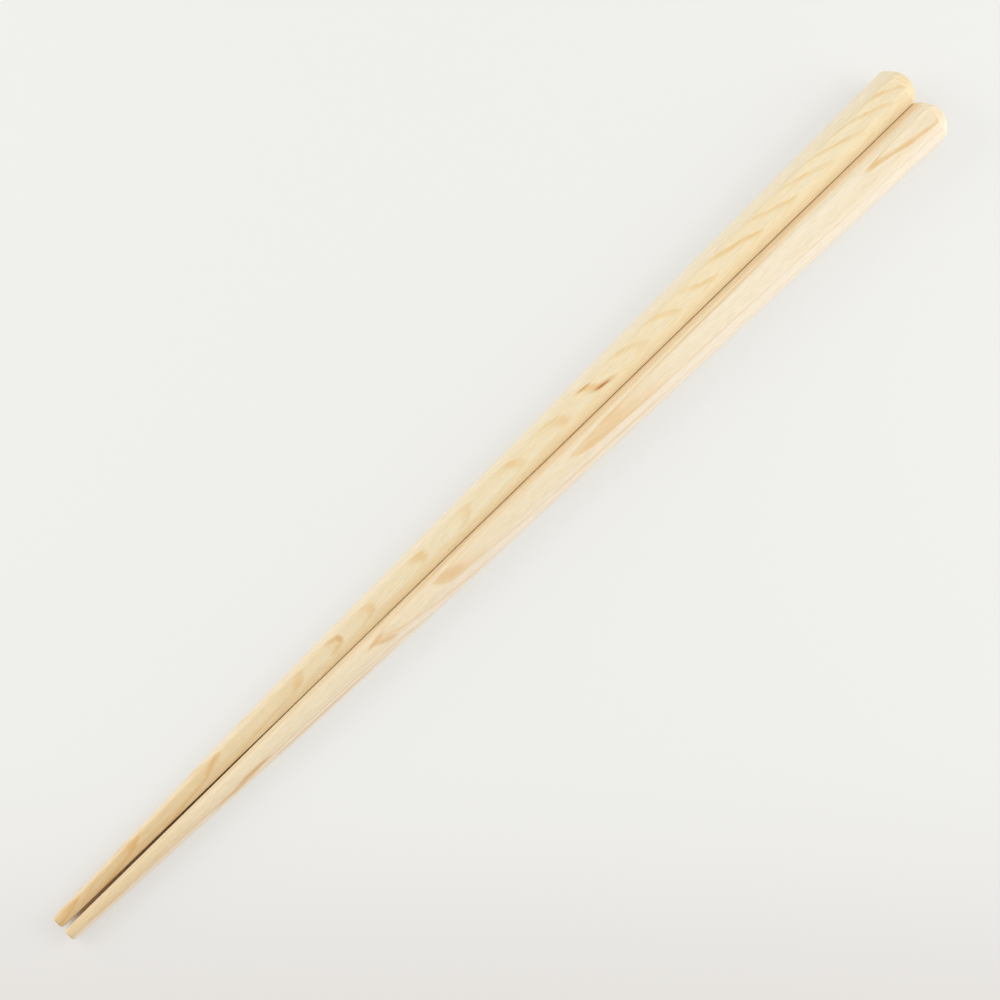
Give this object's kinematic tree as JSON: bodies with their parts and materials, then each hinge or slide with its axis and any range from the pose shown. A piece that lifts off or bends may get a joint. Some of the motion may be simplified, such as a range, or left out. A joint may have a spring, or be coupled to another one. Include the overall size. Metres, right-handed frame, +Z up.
{
  "type": "pair of wooden chopsticks",
  "caption": "Slim tapered eating sticks of pale hardwood with eight planed sides, a mitred crown at each butt and blunt softened tips, lying side by side.",
  "frame": {"origin": "on the table under the pair, midway along its length, on the line where the two sticks meet", "axes": "+X along the sticks towards the tips, +Z up from the table, +Y towards the left stick"},
  "size_m": [0.23, 0.0178, 0.0089],
  "materials": {
    "wood": "satin"
  },
  "bodies": {
    "root": {"left_chopstick": "wood", "right_chopstick": "wood"}
  },
  "joints": []
}
